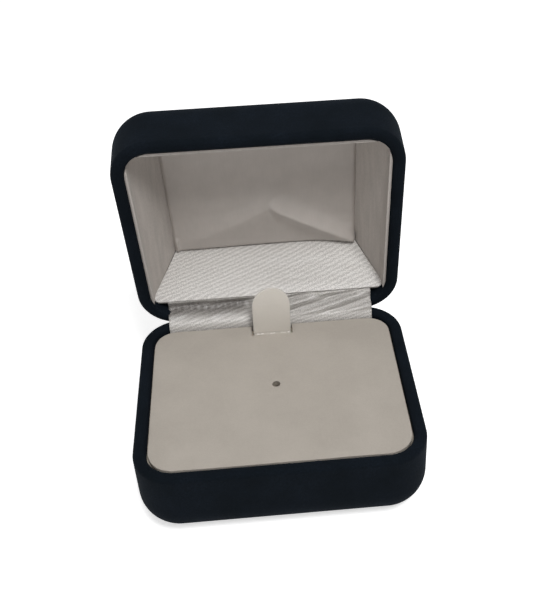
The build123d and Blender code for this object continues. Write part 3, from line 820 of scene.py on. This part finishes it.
class BOX_OT_ceiling(bpy.types.Operator):
    """Make the padded satin ceiling, puckered towards its rear corners"""

    bl_idname = "box.ceiling"
    bl_label = "Satin ceiling"

    def execute(self, context):
        crest = context.scene.box_sizes.ceiling_crest / MM
        # Outline and height of the satin's face, then of its back, in the closed lid.
        half, front, rear, face = 24.9, -18.7, 14.95, 37.1
        back_half, back_front, back_rear, back = 23.9, -17.9, 14.6, 38.65
        bm = sheet_grid(140, 96)
        # Two ridges run from the pucker to the rear corners, strong to the right and faint to the left:
        # corner, width before and behind the ridge, height, and how much of it is lost on the way.
        apex = Vector((2.6, 1.4))
        ridges = {
            -1: (Vector((-half, rear)), 4.5, 5.5, 0.5, 0.35),
            1: (Vector((half, rear)), 2.2, 2.8, 1.0, 0.25),
        }
        for vert in bm.verts:
            x = vert.co.x * 2 * half
            y = front + (vert.co.y + 0.5) * (rear - front)
            edge = min(half - abs(x), y - front, rear - y)
            swell = 0.55 * smoothstep(0, 9, edge) + 0.25 * smoothstep(0, 1.2, edge)
            ridge = 0
            for side, (corner, before_width, behind_width, height, loss) in ridges.items():
                line = corner - apex
                point = Vector((x, y)) - apex
                share = min(max(point.dot(line) / line.length_squared, 0), 1)
                offset = point - line * share
                width = before_width + (behind_width - before_width) * smoothstep(-0.8, 0.8, offset.y)
                strength = (height - loss * share) * smoothstep(-6, 3, side * (x - apex.x))
                ridge = max(ridge, strength * math.exp(-(offset.length / width) ** 1.5))
            # A short tuck at the left rear corner, and fine waves that die out at the rim.
            tuck = 0.7 * math.exp(-((x + half - 0.9) / 0.45) ** 2) * smoothstep(rear - 5, rear - 3.5, y)
            fine = 0.08 * wander(x * 0.6, y * 1.4, 2.0, 3.0) * smoothstep(0, 1.5, edge)
            z = face - swell * 0.6 - crest * ridge * smoothstep(0, 0.8, edge + 0.4) - fine - tuck
            z += 0.5 * (1 - smoothstep(0, 0.6, edge))
            vert.co = Vector((x, y, z)) * MM
        # The back of the pad is flat on the board and a little smaller than its face.
        rim = [edge for edge in bm.edges if len(edge.link_faces) == 1]
        drawn = bmesh.ops.extrude_edge_only(bm, edges=rim)
        for vert in only(bmesh.types.BMVert, drawn["geom"]):
            vert.co.x *= back_half / half
            vert.co.y = min(max(vert.co.y, back_front * MM), back_rear * MM)
            vert.co.z = back * MM
        bmesh.ops.contextual_create(bm, geom=only(bmesh.types.BMEdge, drawn["geom"]))
        bmesh.ops.transform(bm, matrix=LID_OPEN, verts=bm.verts)
        pad = make_piece(bm, "ceiling_satin_pad", [ceiling_material(context.scene.box_colours)], "lid", 60)
        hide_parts("lid_ceiling_satin", "lid_ceiling_wadding")
        return {"FINISHED"}


class BOX_OT_ribbon(bpy.types.Operator):
    """Fold the satin ribbon that hides the hinge"""

    bl_idname = "box.ribbon"
    bl_label = "Hinge ribbon"

    def execute(self, context):
        dip = context.scene.box_sizes.ribbon_dip / MM
        low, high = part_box("hinge_ribbon")
        half = (high.x - low.x) / 2 / MM
        # The ribbon's line from base to lid, as (y, z): a deep fold at the left, smooth at the right.
        folded = [Vector(point) for point in (
            (24.38, 15.2), (24.38, 18.4), (24.42, 20.7), (25.0, 22.5),
            (27.0, 23.6), (29.6, 24.3), (30.6, 25.2), (29.55, 27.0),
        )]
        smooth = [Vector(point) for point in (
            (24.38, 15.2), (24.38, 18.4), (24.42, 20.6), (25.1, 22.2),
            (26.3, 23.4), (27.6, 24.6), (28.7, 25.8), (29.45, 27.0),
        )]
        total = sum((second - first).length for first, second in zip(folded, folded[1:]))
        bm = sheet_grid(160, 96)
        for vert in bm.verts:
            up = vert.co.y + 0.5
            x = vert.co.x * 2 * half
            left = smoothstep(1, -8, x) * (0.8 + 0.4 * wander(x, 1.0, 0.0, 6.0))
            point = along_route(smooth, up).lerp(along_route(folded, up), min(max(left, 0), 1))
            # The ribbon is held at both ends. Between them it has slanting folds, small pleats in the
            # deep fold, a fine crumple and one dip below the panel.
            free = smoothstep(0.44, 0.58, up) * (1 - smoothstep(0.94, 1.0, up))
            slanted = up * 13 - 0.3 * (x - 6)
            folds = (1 - left) * 0.65 * math.sin(slanted * 1.5 + 0.8 * wander(x, up * 8, 0, 5.0))
            pleats = math.sin(x * 3.4 + 2.5 * wander(x, up * 6, 0, 4.0))
            pleats *= left * 0.24 * smoothstep(0.62, 0.8, up)
            crumple = 0.2 * wander(x, up * 14, 3.0, 3.0)
            dent = dip * 0.3 * (1 - left) * math.exp(-((up - 0.88) / 0.06) ** 2)
            inward = free * (dent - folds - pleats - crumple - 0.1)
            vert.co = Vector((x, point.x + inward * 0.8, point.y - inward * 0.5)) * MM
        # The deep fold's middle, and how far the shade reaches from it, as shares of the length.
        fold = (0.76, 0.27)
        satin = satin_material("twill satin ribbon", context.scene.box_colours, (2 * half, total),
                               context.scene.box_sizes.twill_pitch / MM, 0.07, 0.4, fold)
        ribbon = make_piece(bm, "hinge_ribbon_satin", [satin], None, 60)
        thicken(ribbon, context.scene.box_sizes.satin_thickness, 0.0)
        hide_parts("hinge_ribbon")
        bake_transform(ribbon)
        return {"FINISHED"}


class BOX_OT_hinge(bpy.types.Operator):
    """Plate the hinge leaves, pin, rivets and spring"""

    bl_idname = "box.hinge"
    bl_label = "Hinge metal"

    def execute(self, context):
        metal = ["hinge_base_leaf", "hinge_lid_leaf", "hinge_pin", "hinge_spring",
                 "hinge_base_rivets", "hinge_lid_rivets"]
        dress(metal, zinc_material())
        return {"FINISHED"}


class BOX_OT_stage(bpy.types.Operator):
    """Set up the pale floor, soft lights, world and camera"""

    bl_idname = "box.stage"
    bl_label = "Stage, lights and camera"

    def execute(self, context):
        scene = context.scene
        self.floor()
        self.lights()
        self.world(scene)
        self.camera(scene)
        scene.view_settings.view_transform = "Standard"
        return {"FINISHED"}

    def floor(self):
        """Large pale floor that keeps the shadow."""
        bm = bmesh.new()
        bmesh.ops.create_grid(bm, x_segments=2, y_segments=2, size=3.0)
        bmesh.ops.translate(bm, verts=bm.verts, vec=(0, 0, -0.05 * MM))
        mesh = bpy.data.meshes.new("pale_floor")
        bm.to_mesh(mesh)
        bm.free()
        floor = bpy.data.objects.new("pale_floor", mesh)
        bpy.context.scene.collection.objects.link(floor)
        # Even matt sheet, lifted to white where it is seen, so that only the soft shadow shows.
        material, tree, shader = start_material("matt white paper", {
            "Base Color": linear("F7F7F7"),
            "Roughness": 0.9,
            "Emission Color": linear("FFFFFF"),
        })
        # The lamps light the sheet to a pale grey, and this glow brings it the rest of the way to white.
        glow = add_node(tree, "Math", {"operation": "MULTIPLY", 0: seen_ray(tree), 1: 0.62})
        link_inputs(tree, shader, {"Emission Strength": glow})
        mesh.materials.append(material)

    def lights(self):
        """Soft key from above and in front, weak fill from the left and a broad soft lamp on top."""
        lamps = (
            ("key softbox", (0.12, -0.28, 0.62), 0.22, 3.0),
            ("fill softbox", (-0.50, -0.45, 0.30), 0.50, 0.55),
            ("top softbox", (-0.05, 0.05, 0.70), 0.40, 0.9),
        )
        for name, place, size, power in lamps:
            lamp = bpy.data.lights.new(name, "AREA")
            lamp.shape = "DISK"
            lamp.size = size
            lamp.energy = power
            light = bpy.data.objects.new(name, lamp)
            light.location = place
            aim = Vector((0, 0.01, 0.03)) - Vector(place)
            light.rotation_euler = aim.to_track_quat("-Z", "Y").to_euler()
            bpy.context.scene.collection.objects.link(light)

    def world(self, scene):
        """Even pale surroundings, white to the camera."""
        world = bpy.data.worlds.new("pale room")
        scene.world = world
        world.use_nodes = True
        tree = world.node_tree
        background = tree.nodes["Background"]
        background.inputs["Color"].default_value = linear("FFFFFF")
        # A dim fill on the object, and full white where the surroundings themselves are seen.
        strength = add_node(tree, "MapRange", {"Value": seen_ray(tree), "To Min": 0.13, "To Max": 1.0})
        link_inputs(tree, background, {"Strength": strength})

    def camera(self, scene):
        """Camera at the photograph's place, as fitted to the picture's corners and edges."""
        lens = bpy.data.cameras.new("product camera")
        lens.sensor_width = 36
        lens.lens = 50.34
        lens.shift_x = -0.0750
        lens.shift_y = 0.1041
        lens.clip_start = 0.01
        camera = bpy.data.objects.new("product camera", lens)
        right = Vector((0.99581, -0.08840, -0.02340)).normalized()
        forward = Vector((0.04813, 0.72424, -0.68786)).normalized()
        up = right.cross(forward).normalized()
        turn = Matrix((right, up, -forward)).transposed()
        place = Vector((-0.035, -150.68, 171.50)) * MM
        camera.matrix_world = Matrix.Translation(place) @ turn.to_4x4()
        scene.collection.objects.link(camera)
        scene.camera = camera


STEPS = (
    BOX_OT_velvet, BOX_OT_shells, BOX_OT_boards, BOX_OT_foam, BOX_OT_insert, BOX_OT_tab, BOX_OT_walls,
    BOX_OT_rear_panel, BOX_OT_ceiling, BOX_OT_ribbon, BOX_OT_hinge, BOX_OT_stage,
)


class BOX_PT_sidebar(bpy.types.Panel):
    """Lists the box's pieces and sizes"""

    bl_idname = "BOX_PT_sidebar"
    bl_label = "Presentation Box"
    bl_space_type = "VIEW_3D"
    bl_region_type = "UI"
    bl_category = "Presentation Box"

    def draw(self, context):
        for group in (context.scene.box_sizes, context.scene.box_colours):
            column = self.layout.column()
            for name in group.bl_rna.properties.keys():
                if name not in ("name", "rna_type"):
                    column.prop(group, name)
        for step in STEPS:
            self.layout.operator(step.bl_idname)


CLASSES = (BoxSizes, BoxColours, *STEPS, BOX_PT_sidebar)


def register():
    """Add the classes and the two groups of settings."""
    for item in CLASSES:
        bpy.utils.register_class(item)
    bpy.types.Scene.box_sizes = bpy.props.PointerProperty(type=BoxSizes)
    bpy.types.Scene.box_colours = bpy.props.PointerProperty(type=BoxColours)


def unregister():
    """Take them away again."""
    del bpy.types.Scene.box_colours
    del bpy.types.Scene.box_sizes
    for item in reversed(CLASSES):
        bpy.utils.unregister_class(item)


def main():
    """Make every piece in order."""
    register()
    for step in STEPS:
        group, name = step.bl_idname.split(".")
        getattr(getattr(bpy.ops, group), name)()


if __name__ == "__main__":
    main()
